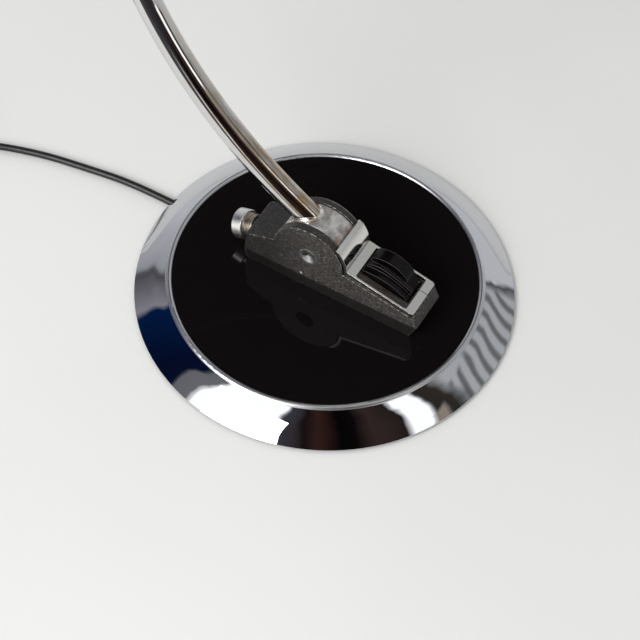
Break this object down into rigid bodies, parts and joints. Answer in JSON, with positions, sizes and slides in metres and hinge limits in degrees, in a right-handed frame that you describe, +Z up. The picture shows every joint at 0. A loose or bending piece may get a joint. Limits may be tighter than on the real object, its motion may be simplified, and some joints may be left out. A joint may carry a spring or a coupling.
{
  "type": "desk lamp",
  "caption": "Desk lamp with a heavy round foot, a friction hinge with a rocker switch in its nose, a crook-shaped tube arm, a round shade and a mains cord.",
  "frame": {"origin": "centre of the felt underside of the foot, on the table", "axes": "+Z up along the foot's axis, -Y to the front, where the switch is, +X to the right seen from the front"},
  "size_m": [0.2677, 0.5486, 0.5206],
  "materials": {
    "ring_chrome": "polished chrome on spun steel",
    "ballast_iron": "rough grey cast iron",
    "disc_black": "gloss black",
    "felt": "pressed dark felt",
    "screw_steel": "zinc plated steel",
    "screw_chrome": "chrome plated steel",
    "washer_fibre": "brown hard fibre",
    "housing_paint": "dark grey metallic hammered paint",
    "bezel_plastic": "silver grey moulded plastic",
    "switch_plastic": "grey-brown moulded plastic",
    "rocker_plastic": "satin black moulded plastic",
    "terminal_brass": "plain brass",
    "knob_aluminium": "turned aluminium",
    "drum_metal": "fine cast, satin, tarnished near the tube",
    "tube_chrome": "chrome plated tube, tarnished at its root",
    "lead_sheath": "round black sheath",
    "shade_paint": "gloss black outside, white inside",
    "diffuser_opal": "opal, slightly matt",
    "holder_plastic": "black moulded plastic",
    "bulb_glass": "frosted glass",
    "bulb_metal": "bright screw cap",
    "grommet_rubber": "black rubber",
    "cord_pvc": "smooth black sheath",
    "tie_plastic": "soft black strap",
    "plug_rubber": "black moulded relief",
    "plug_plastic": "black moulded body"
  },
  "bodies": {
    "base": {"base_ring": "ring_chrome", "ballast": "ballast_iron", "base_disc": "disc_black", "felt_pad": "felt", "housing_screws": "screw_steel", "hinge_housing": "housing_paint", "pivot_screw": "screw_chrome", "pivot_nut": "screw_steel", "friction_washers": "washer_fibre", "switch_bezel": "bezel_plastic", "switch_body": "switch_plastic", "rocker_pin": "screw_steel", "switch_terminals": "terminal_brass", "cord_clamp": "holder_plastic", "clamp_screws": "screw_steel", "cord_grommet": "grommet_rubber", "switch_lead": "lead_sheath", "arm_feed_lead": "lead_sheath", "mains_cord": "cord_pvc", "cord_coil": "cord_pvc", "cord_tail": "cord_pvc", "cord_tie": "tie_plastic", "plug_relief": "plug_rubber", "plug_body": "plug_plastic", "plug_pins": "terminal_brass"},
    "arm": {"arm_drum": "drum_metal", "arm_tube": "tube_chrome", "arm_knuckle": "screw_chrome", "arm_lead": "lead_sheath"},
    "head": {"head_yoke": "screw_chrome", "tilt_screw": "screw_chrome", "tilt_nut": "screw_chrome", "head_cap": "screw_chrome", "shade": "shade_paint", "trim_ring": "ring_chrome", "diffuser": "diffuser_opal", "diffuser_screws": "screw_chrome", "lamp_bracket": "screw_steel", "stem_nut": "screw_steel", "lampholder": "holder_plastic", "holder_screw": "screw_steel", "bulb": "bulb_glass", "bulb_cap": "bulb_metal"},
    "rocker_body": {"rocker": "rocker_plastic"},
    "brake_knob_body": {"brake_screw": "screw_steel", "brake_knob": "knob_aluminium"},
    "brake_shoe_body": {"brake_shoe": "terminal_brass"}
  },
  "joints": [
    {"name": "arm_tilt", "type": "hinge", "parent": "base", "child": "arm", "pos_m": [0, 0.0049, 0.0463], "axis": [1, 0, 0], "range_deg": [-20, 45]},
    {"name": "head_tilt", "type": "hinge", "parent": "arm", "child": "head", "pos_m": [0, -0.0097, 0.51258], "axis": [1, 0, 0], "range_deg": [-75, 10]},
    {"name": "rocker_switch", "type": "hinge", "parent": "base", "child": "rocker_body", "pos_m": [0, -0.04013, 0.03519], "axis": [1, 0, 0], "range_deg": [0, 12.5]},
    {"name": "brake_knob_turn", "type": "hinge", "parent": "base", "child": "brake_knob_body", "pos_m": [0, 0.0049, 0.0463], "axis": [0, 0.9397, -0.342], "range_deg": [-361, 58.5]},
    {"name": "brake_shoe_slide", "type": "slide", "parent": "base", "child": "brake_shoe_body", "axis": [0, -0.9397, 0.342], "range_m": [-0.001, 0.00016]}
  ],
  "couplings": [
    {"joint": "brake_knob_turn", "follows": "brake_shoe_slide", "rad_per_m": 6283.2}
  ]
}
